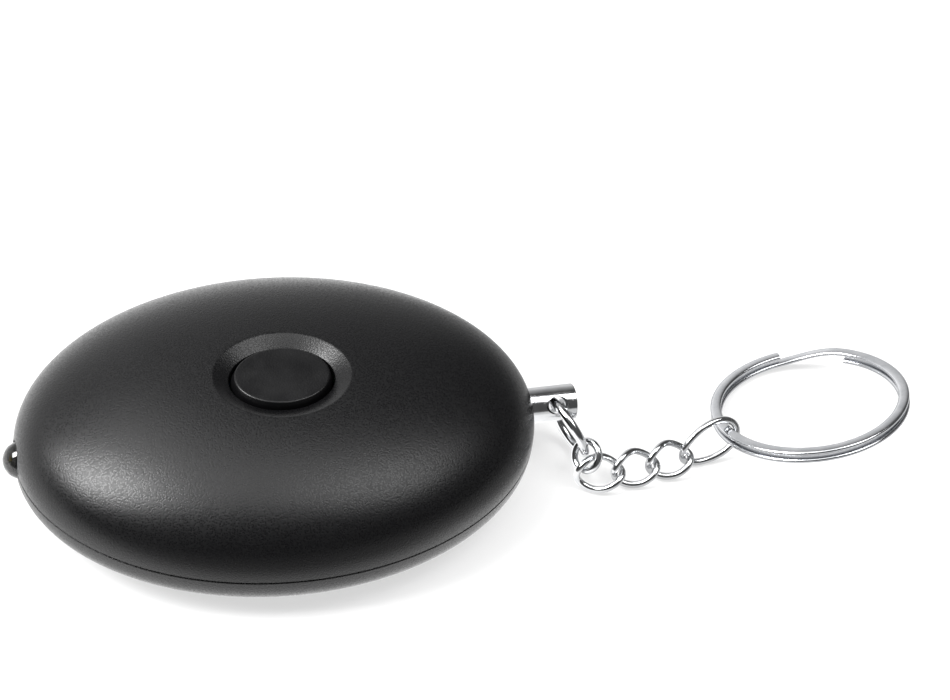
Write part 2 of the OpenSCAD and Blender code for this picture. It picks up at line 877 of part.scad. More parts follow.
// Small ring that hangs in the jump ring and holds the first link
connector_r = (connector_d - link_wire) / 2;
connector_turn = -155;
connector_rise = 32;
connector_at = jump_end + connector_r * [-0.05, -0.87, 0.7];
connector_axis = [
  cos(connector_rise) * cos(connector_turn), cos(connector_rise) * sin(connector_turn), sin(connector_rise)
];
connector_side = unit(cross(connector_axis, [0, 0, 1]));

module connector_ring() {
  color("#c9ccce")
    placed(connector_at, connector_side, cross(connector_axis, connector_side))
      torus(connector_r, link_wire);
}

// Chain links: each lies from the link before it, at a heading in plan, rolled on its length and twisted
link_heading = [-4, 8, 9];
link_roll = 40;
link_twist = 40;
link_l = link_length - link_wire;
link_w = link_width - link_wire;
link_step = (link_l - link_wire - link_slack) / 2;
function heading(a) = [cos(a), sin(a), 0];
first_end = connector_at + connector_r * [-0.8, -0.84, -0.78];
link_at_1 = first_end + heading(link_heading[0]) * link_l / 2;
link_at_2 = link_at_1 + link_step * (heading(link_heading[0]) + heading(link_heading[1]));
link_at_3 = link_at_2 + link_step * (heading(link_heading[1]) + heading(link_heading[2]));

// End link, raised at its far end to carry the split ring
end_heading = 15.5;
end_rise = 17;
end_roll = 44;
end_twist_near = 41;
end_twist_far = 17;
end_l = end_link_length - link_wire;
end_w = end_link_width - link_wire;
end_dir = [cos(end_rise) * cos(end_heading), cos(end_rise) * sin(end_heading), sin(end_rise)];
end_at = link_at_3 + link_step * heading(link_heading[2]) + (end_l - link_wire - link_slack) / 2 * end_dir;
end_tip = end_at + end_l / 2 * end_dir;

function link_point(l, w, near, far, t) =
  let (s = (1 + cos(t)) / 2, turn = near * (1 - s) + far * s)
    [l / 2 * cos(t), w / 2 * sin(t) * cos(turn), w / 2 * sin(t) * sin(turn)];

module twisted_link(l, w, near, far) {
  small = 0.5;
  rings = [
    for (i = [0:link_rings - 1])
      let (
        t = full_turn * i / link_rings,
        p = link_point(l, w, near, far, t),
        along = link_point(l, w, near, far, t + small) - link_point(l, w, near, far, t - small)
      )
        wire_ring(p, along, p, link_wire / 2, link_sides)
  ];
  tube_skin(rings, true);
}

module chain_link(at, turn) {
  color("#c9ccce")
    translate(at)
      rotate([link_roll, 0, turn])
        twisted_link(link_l, link_w, link_twist, -link_twist);
}

module chain_link_1() {
  chain_link(link_at_1, link_heading[0]);
}

module chain_link_2() {
  chain_link(link_at_2, link_heading[1]);
}

module chain_link_3() {
  chain_link(link_at_3, link_heading[2]);
}

module end_link() {
  color("#c9ccce")
    translate(end_at)
      rotate([end_roll, -end_rise, end_heading])
        twisted_link(end_l, end_w, end_twist_near, end_twist_far);
}

// Split ring: one flat wire in two turns, which steps from the upper to the lower in one short stretch
ring_r = (ring_d - ring_wire_width) / 2;
ring_pitch = ring_wire_height + ring_gap;
ring_climb = 20;
ring_climb_at = 60;
ring_step = 7.5;
ring_heading = 9;
ring_slack = 0.45;
ring_inset = ring_d / 2 - ring_wire_width - link_wire / 2 - ring_slack;
ring_axis = unit([-tan(ring_tilt_right), tan(ring_tilt_front), 1]);
ring_lift = ring_d / 2 * sqrt(1 - pow(ring_axis[2], 2)) + (ring_pitch + ring_wire_height) / 2 * ring_axis[2];
ring_at = [end_tip[0], end_tip[1], ring_lift] + ring_inset * heading(ring_heading);
ring_x = unit(heading(ring_heading) - ring_axis * (heading(ring_heading) * ring_axis));

function climb_share(a) =
  let (s = min(1, max(0, (a - full_turn + ring_climb) / (2 * ring_climb))))
    s * s * (3 - 2 * s);
function ring_point(a) =
  [ring_r * cos(a + ring_climb_at), ring_r * sin(a + ring_climb_at), ring_pitch * (0.5 - climb_share(a))];

module split_ring() {
  edge = 0.28 * ring_wire_height;
  half_w = ring_wire_width / 2;
  half_h = ring_wire_height / 2;
  section = [
    [half_w, -half_h + edge], [half_w, half_h - edge], [half_w - edge, half_h], [edge - half_w, half_h],
    [-half_w, half_h - edge], [-half_w, edge - half_h], [edge - half_w, -half_h], [half_w - edge, -half_h]
  ];
  angles = [for (a = [ring_climb:ring_step:2 * full_turn - ring_climb]) a];
  rings = [
    for (a = angles)
      let (p = ring_point(a), out = [cos(a + ring_climb_at), sin(a + ring_climb_at), 0])
        [for (s = section) p + s[0] * out + [0, 0, s[1]]]
  ];
  gap = min([
    for (a = angles, b = angles)
      if (b - a > half_turn) norm(ring_point(a) - ring_point(b))
  ]) - ring_wire_height;
  echo(str("split ring, least gap between turns: ", gap));
  color("#c6c9cc")
    placed(ring_at, ring_x, cross(ring_axis, ring_x))
      tube_skin([for (r = rings) reversed(r)], false);
}

// Screws
module case_screws() {
  drive = 1.1;
  drive_depth = 0.8;
  color("#8e9194")
    for (p = screw_places)
      translate([p[0], p[1], 0])
        difference() {
          union() {
            translate([0, 0, head_seat - head_height])
              cylinder(d = screw_head_d, h = head_height);
            translate([0, 0, head_seat - head_height / 2])
              cylinder(d = screw_shank_d, h = head_height / 2 + head_depth + screw_reach);
          }
          translate([0, 0, head_seat - head_height - overrun])
            for (turn = [0, 90])
              rotate([0, 0, turn])
                translate([-drive, -drive / 4, 0])
                  cube([2 * drive, drive / 2, drive_depth + overrun]);
        }
}

module board_screws() {
  color("#8e9194")
    for (p = board_posts)
      translate([p[0], p[1], board_under - board_screw_head]) {
        cylinder(d = board_screw_head_d, h = board_screw_head);
        cylinder(d = board_screw_d, h = board_screw_head + board_height + board_screw_length - fit_gap);
      }
}

// Lead wires, each an easy bend from the piezo plate up to the board
lead_wire_d = 0.8;
module lead_wire(from, to) {
  count = 8;
  path = [
    for (i = [0:count])
      let (s = i / count, e = (1 - cos(half_turn * s)) / 2)
        [from[0] + (to[0] - from[0]) * e, from[1] + (to[1] - from[1]) * e, from[2] + (to[2] - from[2]) * s]
  ];
  rings = [
    for (i = [0:count])
      let (end = i == 0 || i == count, along = end ? [0, 0, 1] : path[i + 1] - path[i - 1])
        wire_ring(path[i], along, [1, 0.3, 0], lead_wire_d / 2, wire_sides)
  ];
  tube_skin(rings, false);
}

module lead_wires() {
  brass_r = (piezo_d + ceramic_d) / 4;
  brass_turn = 12;
  brass_joint = [piezo_x + brass_r * cos(brass_turn), brass_r * sin(brass_turn), ceramic_z + seat_gap];
  ceramic_joint = [piezo_x, ceramic_d / 9, ceramic_z + ceramic_height + seat_gap];
  pad_z = board_under - seat_gap;
  color("#a3272a")
    lead_wire(brass_joint, [piezo_x + piezo_d / 3, 0.36 * board_width, pad_z]);
  color("#1d1d1f")
    lead_wire(ceramic_joint, [piezo_x - piezo_d / 7, 0.38 * board_width, pad_z]);
}

upper_shell();
lower_shell();
torch_button();
switch_plunger();
switch_body();
circuit_board();
driver_chip();
transistor();
boost_coil();
capacitor();
resistors();
led_bulb();
led_leads();
piezo_plate();
piezo_ceramic();
piezo_foam();
button_cells();
battery_tray();
contact_plates();
contact_spring();
pin_socket();
contact_leaf_upper();
contact_leaf_lower();
pull_pin();
pin_tip();
jump_ring();
connector_ring();
chain_link_1();
chain_link_2();
chain_link_3();
end_link();
split_ring();
case_screws();
board_screws();
lead_wires();
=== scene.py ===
import json
import math

import bmesh
import bpy
import numpy as np
from mathutils import Matrix, Vector


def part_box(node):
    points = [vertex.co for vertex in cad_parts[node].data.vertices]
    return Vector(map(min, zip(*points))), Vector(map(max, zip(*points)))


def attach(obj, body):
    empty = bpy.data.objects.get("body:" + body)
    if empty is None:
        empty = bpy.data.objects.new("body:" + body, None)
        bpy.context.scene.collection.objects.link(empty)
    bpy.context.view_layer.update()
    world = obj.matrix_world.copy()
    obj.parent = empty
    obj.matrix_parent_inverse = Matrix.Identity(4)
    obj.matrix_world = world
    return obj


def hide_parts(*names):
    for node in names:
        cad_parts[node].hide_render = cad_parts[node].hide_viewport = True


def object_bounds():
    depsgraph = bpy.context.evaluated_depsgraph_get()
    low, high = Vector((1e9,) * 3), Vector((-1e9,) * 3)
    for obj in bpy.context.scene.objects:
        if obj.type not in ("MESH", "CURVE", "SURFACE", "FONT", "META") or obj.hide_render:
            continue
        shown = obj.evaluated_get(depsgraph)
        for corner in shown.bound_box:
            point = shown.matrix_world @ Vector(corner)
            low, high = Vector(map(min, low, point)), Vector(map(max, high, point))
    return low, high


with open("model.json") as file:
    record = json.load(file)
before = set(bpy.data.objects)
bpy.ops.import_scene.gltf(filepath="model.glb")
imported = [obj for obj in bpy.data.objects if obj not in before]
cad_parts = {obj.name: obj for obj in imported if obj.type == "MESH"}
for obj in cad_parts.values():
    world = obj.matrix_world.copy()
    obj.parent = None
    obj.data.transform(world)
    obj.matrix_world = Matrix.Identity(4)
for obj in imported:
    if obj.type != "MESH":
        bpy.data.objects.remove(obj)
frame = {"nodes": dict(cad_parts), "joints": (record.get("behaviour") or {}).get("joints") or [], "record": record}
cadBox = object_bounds()
nodes = frame["nodes"]
joints = {j["name"]: j for j in frame["joints"]}
mounts = {m["name"]: m for m in frame["record"]["mounts"]}
mm = 0.001
pole = 0.02 * mm  # turned shapes end in a tiny flat instead of a point
print("frame loaded:", len(nodes), "nodes")


# mesh tools

def finishMesh(name, mesh, sharpAngle=32):
    work = bmesh.new()
    work.from_mesh(mesh)
    bmesh.ops.recalc_face_normals(work, faces=work.faces)
    work.to_mesh(mesh)
    work.free()
    mesh.shade_smooth()
    mesh.set_sharp_from_angle(angle=math.radians(sharpAngle))
    piece = bpy.data.objects.new(name, mesh)
    bpy.context.scene.collection.objects.link(piece)
    return piece


def skin(name, rings, loop=False, sharpAngle=32):
    # quads between rings of equal point count, capped unless the rings close on themselves
    count = len(rings[0])
    points = [tuple(p) for ring in rings for p in ring]
    faces = []
    for k in range(len(rings) if loop else len(rings) - 1):
        a, b = k * count, (k + 1) % len(rings) * count
        for i in range(count):
            j = (i + 1) % count
            faces.append((a + i, a + j, b + j, b + i))
    if not loop:
        faces.append(tuple(range(count)))
        faces.append(tuple(range(len(points) - count, len(points))))
    mesh = bpy.data.meshes.new(name)
    mesh.from_pydata(points, [], faces)
    return finishMesh(name, mesh, sharpAngle)


def lathe(name, profile, place, sides=64, loop=False, sharpAngle=32):
    # profile of (radius, distance along the axis); place maps local Z to the axis
    rings = []
    for radius, along in profile:
        turn = [2 * math.pi * i / sides for i in range(sides)]
        rings.append([place @ Vector((radius * math.cos(t), radius * math.sin(t), along)) for t in turn])
    return skin(name, rings, loop, sharpAngle)


def wireRings(path, tangents, outward, section):
    # section points are (away from the middle, across) in metres
    rings = []
    for p, t, o in zip(path, tangents, outward):
        t = t.normalized()
        n = (o - t * o.dot(t)).normalized()
        b = t.cross(n)
        rings.append([p + n * u + b * v for u, v in section])
    return rings


def roundSection(radius, sides):
    turns = [2 * math.pi * i / sides for i in range(sides)]
    return [(radius * math.cos(t), radius * math.sin(t)) for t in turns]


def axisFrame(origin, along, side=Vector((0, 0, 1))):
    z = along.normalized()
    x = (side - z * side.dot(z)).normalized()
    y = z.cross(x)
    return Matrix.Translation(origin) @ Matrix((x, y, z)).transposed().to_4x4()


def upright(x, y):
    return axisFrame(Vector((x, y, 0)), Vector((0, 0, 1)), Vector((1, 0, 0)))


def cut(piece, cutters, sharpAngle=32):
    # takes the cutters out of the piece and leaves a plain mesh
    for c in cutters:
        m = piece.modifiers.new("cut", "BOOLEAN")
        m.operation = "DIFFERENCE"
        m.solver = "EXACT"
        m.object = c
    bpy.context.view_layer.update()
    shape = piece.evaluated_get(bpy.context.evaluated_depsgraph_get())
    mesh = bpy.data.meshes.new_from_object(shape)
    piece.modifiers.clear()
    old = piece.data
    piece.data = mesh
    bpy.data.meshes.remove(old)
    mesh.name = piece.name
    mesh.shade_smooth()
    mesh.set_sharp_from_angle(angle=math.radians(sharpAngle))
    for c in cutters:
        bpy.data.objects.remove(c)
    return piece


def boxCentre(node):
    low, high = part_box(node)
    return (low + high) / 2


def dress(piece, body, finish, slot, *stands):
    piece.data.materials.clear()
    piece.data.materials.append(finish)
    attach(piece, body)
    if stands:
        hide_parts(*stands)
    return piece


# materials

def linear(hexCode):
    values = [int(hexCode[i:i + 2], 16) / 255 for i in (1, 3, 5)]
    return [v / 12.92 if v <= 0.04045 else ((v + 0.055) / 1.055) ** 2.4 for v in values] + [1.0]


def addNode(tree, kind, settings=None, links=None):
    node = tree.nodes.new(kind)
    for key, value in (settings or {}).items():
        if isinstance(key, int) or key in node.inputs:
            node.inputs[key].default_value = value
        else:
            setattr(node, key, value)
    for key, (source, output) in (links or {}).items():
        tree.links.new(source.outputs[output], node.inputs[key])
    return node


def newFinish(name, **settings):
    finish = bpy.data.materials.new(name)
    finish.use_nodes = True
    tree = finish.node_tree
    shader = tree.nodes["Principled BSDF"]
    for key, value in settings.items():
        shader.inputs[key.replace("_", " ")].default_value = value
    where = addNode(tree, "ShaderNodeTexCoord")
    return finish, tree, shader, {"Vector": (where, "Object")}


def perMm(size):
    # noise scale for features of that size in millimetres
    return 1 / (size * mm)


def grey(value):
    return (value, value, value, 1)


def surface(tree, shader, look, colourBy=None, roughBy=None, reliefBy=None):
    # pattern nodes steer the colour between dark and light, the roughness between smooth and rough,
    # and the relief
    spread = {"From Min": 0.32, "From Max": 0.68}
    if colourBy:
        blend = addNode(tree, "ShaderNodeMapRange", spread, {"Value": (colourBy, 0)})
        colours = {"data_type": "RGBA", 6: linear(look["dark"]), 7: linear(look["light"])}
        colour = addNode(tree, "ShaderNodeMix", colours, {0: (blend, 0)})
        tree.links.new(colour.outputs[2], shader.inputs["Base Color"])
    if roughBy:
        limits = {**spread, "To Min": look["smooth"], "To Max": look["rough"]}
        gloss = addNode(tree, "ShaderNodeMapRange", limits, {"Value": (roughBy, 0)})
        tree.links.new(gloss.outputs[0], shader.inputs["Roughness"])
    if reliefBy:
        depth = {"Strength": look["relief"], "Distance": look["depth"] * mm}
        relief = addNode(tree, "ShaderNodeBump", depth, {"Height": (reliefBy, 0)})
        tree.links.new(relief.outputs["Normal"], shader.inputs["Normal"])


# Black ABS, moulded against a spark-eroded tool: a fine even grain that breaks up reflections.
# The real grain is about 0.1 mm and too fine to show, so it is drawn more than twice as coarse.
shellLook = {
    "grain": 0.24, "cloud": 9, "dark": "#060607", "light": "#080809",
    "smooth": 0.27, "rough": 0.4, "relief": 0.6, "depth": 0.03,
}
sparkAbs, tree, shader, onPiece = newFinish("blackAbsSparkTexture", IOR=1.37)
grain = addNode(tree, "ShaderNodeTexVoronoi", {"Scale": perMm(shellLook["grain"])}, onPiece)
cloud = addNode(tree, "ShaderNodeTexNoise", {"Scale": perMm(shellLook["cloud"]), "Detail": 2.0}, onPiece)
surface(tree, shader, shellLook, cloud, grain, grain)

# The button is the same ABS with the same coarse-drawn grain, unevenly smoothed by thumbs.
buttonLook = {
    "grain": 0.26, "wear": 4, "dark": "#060607", "light": "#080809",
    "smooth": 0.28, "rough": 0.4, "relief": 0.5, "depth": 0.03,
}
buttonAbs, tree, shader, onPiece = newFinish("blackAbsThumbWorn", IOR=1.37)
grain = addNode(tree, "ShaderNodeTexVoronoi", {"Scale": perMm(buttonLook["grain"])}, onPiece)
wear = addNode(tree, "ShaderNodeTexNoise", {"Scale": perMm(buttonLook["wear"]), "Detail": 3.0}, onPiece)
surface(tree, shader, buttonLook, wear, wear, grain)

# Bright nickel plate over turned steel: mirror-like, with faint turning marks and handling haze.
plateLook = {
    "mark": 0.12, "haze": 1.6, "dark": "#c4c5c7", "light": "#d0d1d2",
    "smooth": 0.1, "rough": 0.2, "relief": 0.03, "depth": 0.01,
}
nickelPlate, tree, shader, onPiece = newFinish("brightNickelPlate", Metallic=1.0)
haze = addNode(tree, "ShaderNodeTexNoise", {"Scale": perMm(plateLook["haze"]), "Detail": 4.0}, onPiece)
marks = addNode(tree, "ShaderNodeTexNoise", {"Scale": perMm(plateLook["mark"]), "Detail": 2.0}, onPiece)
surface(tree, shader, plateLook, haze, haze, marks)

# Nickel-plated spring steel of the split ring: drawn flat wire, so slightly softer reflections.
springLook = {
    "mark": 0.25, "haze": 2.2, "dark": "#bcbec1", "light": "#cccdd0",
    "smooth": 0.13, "rough": 0.25, "relief": 0.04, "depth": 0.01,
}
springSteel, tree, shader, onPiece = newFinish("platedSpringSteel", Metallic=1.0)
haze = addNode(tree, "ShaderNodeTexNoise", {"Scale": perMm(springLook["haze"]), "Detail": 4.0}, onPiece)
marks = addNode(tree, "ShaderNodeTexNoise", {"Scale": perMm(springLook["mark"]), "Detail": 3.0}, onPiece)
surface(tree, shader, springLook, haze, marks, marks)

# Clear cast epoxy of the lamp: glassy, with the faintest casting ripple.
epoxyLook = {"ripple": 1.2, "tint": "#f4f7f8", "smooth": 0.02, "rough": 0.06, "relief": 0.02, "depth": 0.02}
clearEpoxy, tree, shader, onPiece = newFinish("clearCastEpoxy", IOR=1.53, Transmission_Weight=1.0)
ripple = addNode(tree, "ShaderNodeTexNoise", {"Scale": perMm(epoxyLook["ripple"]), "Detail": 1.0}, onPiece)
shader.inputs["Base Color"].default_value = linear(epoxyLook["tint"])
surface(tree, shader, epoxyLook, None, ripple, ripple)

# The other finishes are plain stock materials with a fine mottle of their own:
# name: (metallic, dark, light, smooth, rough, grain in mm, relief)
stockFinishes = {
    "zincPlatedSteel": (1.0, "#9b9ea1", "#b4b7ba", 0.25, 0.4, 0.4, 0.05),
    "tinnedCopperLead": (1.0, "#b9bbbd", "#cfd0d1", 0.2, 0.35, 0.3, 0.04),
    "stainlessCellCan": (1.0, "#a9acae", "#c4c6c8", 0.18, 0.34, 0.5, 0.03),
    "rolledBrassSheet": (1.0, "#a9803a", "#c7a156", 0.22, 0.38, 0.3, 0.05),
    "solderMaskOnGlassEpoxy": (0.0, "#174a26", "#22602f", 0.22, 0.34, 0.6, 0.06),
    "blackMouldingEpoxy": (0.0, "#17171a", "#202024", 0.5, 0.62, 0.12, 0.08),
    "sinteredFerrite": (0.0, "#2b2726", "#3a3534", 0.55, 0.7, 0.15, 0.1),
    "blueShrinkSleeve": (0.0, "#22335c", "#2b4072", 0.2, 0.3, 0.8, 0.04),
    "firedCeramic": (0.0, "#cfc8b8", "#e2dccf", 0.45, 0.6, 0.2, 0.06),
    "closedCellFoam": (0.0, "#2d2d2f", "#3c3c3f", 0.8, 0.95, 0.25, 0.3),
    "mattAbsInside": (0.0, "#232325", "#2b2b2d", 0.42, 0.55, 0.25, 0.08),
    "whiteAcetal": (0.0, "#dcd8cd", "#ebe7dd", 0.3, 0.42, 0.4, 0.04),
    "softPvcInsulation": (0.0, "#861c20", "#a3272a", 0.35, 0.5, 0.5, 0.05),
    "matteSilverFrame": (1.0, "#c9c8c2", "#dad9d4", 0.25, 0.4, 0.2, 0.05),
    "yellowPhosphor": (0.0, "#d9c04a", "#e6d169", 0.5, 0.65, 0.1, 0.05),
}
stock = {}
for name, (metallic, dark, light, smooth, rough, grainSize, relief) in stockFinishes.items():
    stock[name], tree, shader, onPiece = newFinish(name, Metallic=metallic)
    grain = addNode(tree, "ShaderNodeTexNoise", {"Scale": perMm(grainSize), "Detail": 3.0}, onPiece)
    look = {"dark": dark, "light": light, "smooth": smooth, "rough": rough, "relief": relief, "depth": 0.03}
    surface(tree, shader, look, grain, grain, grain)
print("materials made:", len(bpy.data.materials))


# body: oval shells on a parting plane

body = {
    "length": 68 * mm, "width": 49 * mm, "parting": 8 * mm, "wall": 1.8 * mm,
    "groove": 0.1 * mm, "grooveDepth": 0.5 * mm, "edge": 0.1 * mm, "edgeRise": 0.96,
    "sides": 224, "steps": 54, "innerSteps": 14, "softSteps": 4, "crowding": 1.35,
    "topShare": 0.4, "innerShare": 0.42,
}
crown = {"rise": 11.5 * mm, "power": 2.4}
belly = {"rise": 8.5 * mm, "power": 2.9, "baseRings": (0.9, 0.96)}
halfLength, halfWidth = body["length"] / 2, min(body["width"] / 2, cadBox[1].y)
partingZ = body["parting"]


def share(x, y, inset=0):
    return math.hypot(x / (halfLength - inset), y / (halfWidth - inset))


def domeHeight(dome, x, y, inset=0):
    return (dome["rise"] - inset) * max(0.0, 1 - share(x, y, inset) ** dome["power"]) ** (1 / dome["power"])


def onCrown(x, y):
    return partingZ + domeHeight(crown, x, y)


def oval(rx, ry, z):
    # z is a height, or a function of the place
    ring = []
    for i in range(body["sides"]):
        t = 2 * math.pi * i / body["sides"]
        x, y = rx * math.cos(t), ry * math.sin(t)
        ring.append(Vector((x, y, z(x, y) if callable(z) else z)))
    return ring


def domeOvals(dome, inset, first, last, sign, steps):
    # ovals up the side of a dome, closer together near the parting plane
    power, rings = dome["power"], []
    for i in range(steps + 1):
        t = first + (last - first) * (i / steps) ** body["crowding"]
        reach, height = math.cos(t) ** (2 / power), math.sin(t) ** (2 / power)
        z = partingZ + sign * (dome["rise"] - inset) * height
        rings.append(oval((halfLength - inset) * reach, (halfWidth - inset) * reach, z))
    return rings


def angleAtHeight(dome, height):
    return math.asin((height / dome["rise"]) ** (dome["power"] / 2))


def angleAtShare(dome, s):
    return math.acos(s ** (dome["power"] / 2))


def bend(a, b, c, steps):
    # points of a soft corner at b
    points = []
    for i in range(steps + 1):
        s = i / steps
        points.append(tuple((1 - s) ** 2 * p + 2 * s * (1 - s) * q + s * s * r for p, q, r in zip(a, b, c)))
    return points


recess = {
    "halfLength": 8.85 * mm, "halfWidth": 7.3 * mm, "depth": 1.0 * mm,
    "openLength": 6.8 * mm, "openWidth": 5.2 * mm, "roof": 1.5 * mm, "lip": 2.6 * mm,
    "rimSoft": 0.14 * mm, "rimSteps": 7, "mouthSoft": 0.12 * mm, "approach": (0.2, 0.4, 0.6, 0.8, 0.93),
}
rimZ = onCrown(recess["halfLength"], 0)
recessZ = rimZ - recess["depth"]
roofZ = recessZ - recess["roof"]
recessSlope = recess["depth"] / (recess["halfLength"] - recess["openLength"])


def rimRings():
    # soft corner where the dish meets the crown, a little lower at the sides
    rings = [[] for k in range(recess["rimSteps"] + 1)]
    for i in range(body["sides"]):
        t = 2 * math.pi * i / body["sides"]

        def at(grow):
            return (recess["halfLength"] + grow) * math.cos(t), (recess["halfWidth"] + grow) * math.sin(t)
        drop = rimZ - onCrown(*at(0))
        corner = -drop / recessSlope
        outer, inner = corner + recess["rimSoft"], corner - recess["rimSoft"]
        start = (*at(outer), onCrown(*at(outer)))
        end = (*at(inner), rimZ + inner * recessSlope)
        for ring, point in zip(rings, bend(start, (*at(corner), rimZ - drop), end, recess["rimSteps"])):
            ring.append(Vector(point))
    return rings


def grooveRings(sign):
    # one side of the dark groove at the parting line, from the inside out
    gap, deep, edge = body["groove"], body["grooveDepth"], body["edge"]
    lip = bend((edge, gap), (0, gap), (0, gap + edge * body["edgeRise"]), body["softSteps"])
    corner = [(deep, 0), (deep, gap)] + lip
    return [oval(halfLength - dx, halfWidth - dx, partingZ + sign * dz) for dx, dz in corner]


def upperRings():
    wall = body["wall"]
    rings = grooveRings(1)
    start = angleAtHeight(crown, body["groove"] + body["edge"])
    rings += domeOvals(crown, 0, start, angleAtShare(crown, body["topShare"]), 1, body["steps"])
    topX, topY = halfLength * body["topShare"], halfWidth * body["topShare"]
    for s in recess["approach"]:
        rx = topX + (recess["halfLength"] + recess["rimSoft"] - topX) * s
        ry = topY + (recess["halfWidth"] + recess["rimSoft"] - topY) * s
        rings.append(oval(rx, ry, onCrown))
    rings += rimRings()
    small = recess["mouthSoft"]
    mouth = bend((small, small * recessSlope), (0, 0), (0, -small), body["softSteps"])
    rings += [oval(recess["openLength"] + d, recess["openWidth"] + d, recessZ + z) for d, z in mouth]
    rings.append(oval(recess["openLength"], recess["openWidth"], roofZ))
    lipLength, lipWidth = recess["openLength"] + recess["lip"], recess["openWidth"] + recess["lip"]
    rings.append(oval(lipLength, lipWidth, roofZ))
    rings.append(oval(lipLength, lipWidth, partingZ + domeHeight(crown, lipLength, 0, wall)))
    innerTop = angleAtShare(crown, body["innerShare"])
    rings += reversed(domeOvals(crown, wall, 0.0, innerTop, 1, body["innerSteps"]))
    return rings


def shareAtDepth(dome, depth, inset=0):
    return (1 - (depth / (dome["rise"] - inset)) ** dome["power"]) ** (1 / dome["power"])


def lowerRings():
    wall = body["wall"]
    baseShare, floorShare = shareAtDepth(belly, partingZ), shareAtDepth(belly, partingZ - wall, wall)
    rings = [oval(halfLength * (baseShare * s), halfWidth * (baseShare * s), 0) for s in belly["baseRings"]]
    start = angleAtHeight(belly, body["groove"] + body["edge"])
    rings += reversed(domeOvals(belly, 0, start, angleAtShare(belly, baseShare), -1, body["steps"]))
    rings += reversed(grooveRings(-1))
    rings += domeOvals(belly, wall, 0.0, angleAtShare(belly, floorShare), -1, body["innerSteps"])
    return rings


lampHole = {"radius": 2.6 * mm, "inside": 7 * mm}
pinHole = {"radius": 2.7 * mm, "inside": 6 * mm}
drills = {"outside": 5 * mm, "below": 2 * mm, "wideSides": 72, "sides": 48}
notch = {"angle": 155, "width": 3 * mm, "height": 0.9 * mm, "depth": 0.8 * mm}
sound = {"centre": boxCentre("piezo_plate").x, "ring": 5 * mm, "radius": 1 * mm, "depth": 5 * mm, "count": 6}
screw = {
    "headRadius": 2.0 * mm, "height": 1.6 * mm, "seat": partingZ - 4 * mm,
    "well": 2.1 * mm, "wellSpare": 0.8 * mm, "shank": 0.9 * mm, "tip": 0.3 * mm,
    "dome": ((0.55, 0.06 * mm), (0.85, 0.3 * mm), (1.0, 0.75 * mm)),
    "crossWidth": 0.28 * mm, "crossReach": 1.15 * mm, "crossTaper": 0.55,
    "crossDepth": 0.9 * mm, "crossOver": 0.5 * mm, "crossTurn": 20, "nextTurn": 35,
}
screwPlaces = [(x * mm, side * y * mm) for x, y in ((24.5, 8.5), (-23.05, 10.53)) for side in (1, -1)]


def bodyHoles():
    alongX = axisFrame(Vector((0, 0, partingZ)), Vector((1, 0, 0)))
    lampSpan = -halfLength - drills["outside"], -halfLength + lampHole["inside"]
    pinSpan = halfLength - pinHole["inside"], halfLength + drills["outside"]
    return [
        lathe("lampDrill", [(lampHole["radius"], x) for x in lampSpan], alongX, drills["wideSides"]),
        lathe("pinDrill", [(pinHole["radius"], x) for x in pinSpan], alongX, drills["wideSides"])]


def prySlot():
    a = math.radians(notch["angle"])
    x, y = halfLength * math.cos(a), halfWidth * math.sin(a)
    out = Vector((x, y, 0)).normalized()
    side = Vector((-out.y, out.x, 0))
    d, w, h = notch["depth"], notch["width"] / 2, notch["height"]
    rings = []
    for reach in (-d, d):
        base = Vector((x, y, partingZ)) + out * reach
        rings.append([base + side * u + Vector((0, 0, v)) for u, v in ((-w, -h), (w, -h), (w, h), (-w, h))])
    return skin("slotCutter", rings)


def drill(x, y, radius, depth):
    return lathe("drill", [(radius, -drills["below"]), (radius, depth)], upright(x, y), drills["sides"])


upperShell = cut(skin("upperShell", upperRings(), loop=True), bodyHoles() + [prySlot()])
dress(upperShell, "case", sparkAbs, "shell", "upper_shell")
lowerShell = skin("lowerShell", lowerRings())
soundPlaces = [(sound["centre"], 0)]
for i in range(sound["count"]):
    t = 2 * math.pi * i / sound["count"]
    soundPlaces.append((sound["centre"] + sound["ring"] * math.cos(t), sound["ring"] * math.sin(t)))
soundDrills = [drill(x, y, sound["radius"], sound["depth"]) for x, y in soundPlaces]
wells = [drill(x, y, screw["well"], screw["seat"] + screw["wellSpare"]) for x, y in screwPlaces]
cut(lowerShell, bodyHoles() + soundDrills + wells)
dress(lowerShell, "case", sparkAbs, "shell", "lower_shell")
print("shells built")


# torch button

button = {
    "gap": 0.3 * mm, "drop": 0.17 * mm, "skirt": 3 * mm, "taper": 1.1 * mm,
    "tuckX": 0.38 * mm, "tuckY": 0.25 * mm, "edge": 0.22 * mm, "edgeLean": 0.06 * mm, "edgeSteps": 8,
    "hollow": 0.05 * mm, "topRings": (0.9, 0.75, 0.55, 0.3, 0.08),
}


def buttonRings():
    # upright skirt, sides that lean in above the recess, a small soft edge, then a slightly hollow top
    rx, ry = recess["openLength"] - button["gap"], recess["openWidth"] - button["gap"]
    tx, ty, edge = rx - button["tuckX"], ry - button["tuckY"], button["edge"]
    top = rimZ - button["drop"]
    rings = [oval(rx, ry, top - button["skirt"]), oval(rx, ry, top - button["taper"])]
    for d, z in bend((button["edgeLean"], -edge), (0, 0), (-edge, 0), button["edgeSteps"]):
        rings.append(oval(tx + d, ty + d, top + z))
    for s in button["topRings"]:
        rings.append(oval((tx - edge) * s, (ty - edge) * s, top - button["hollow"] * (1 - s ** 2)))
    return rings


torchButton = skin("torchButton", buttonRings())
dress(torchButton, "torch_button", buttonAbs, "button", "torch_button")


# lamp: clear lens with its lead frame, cup and chip inside

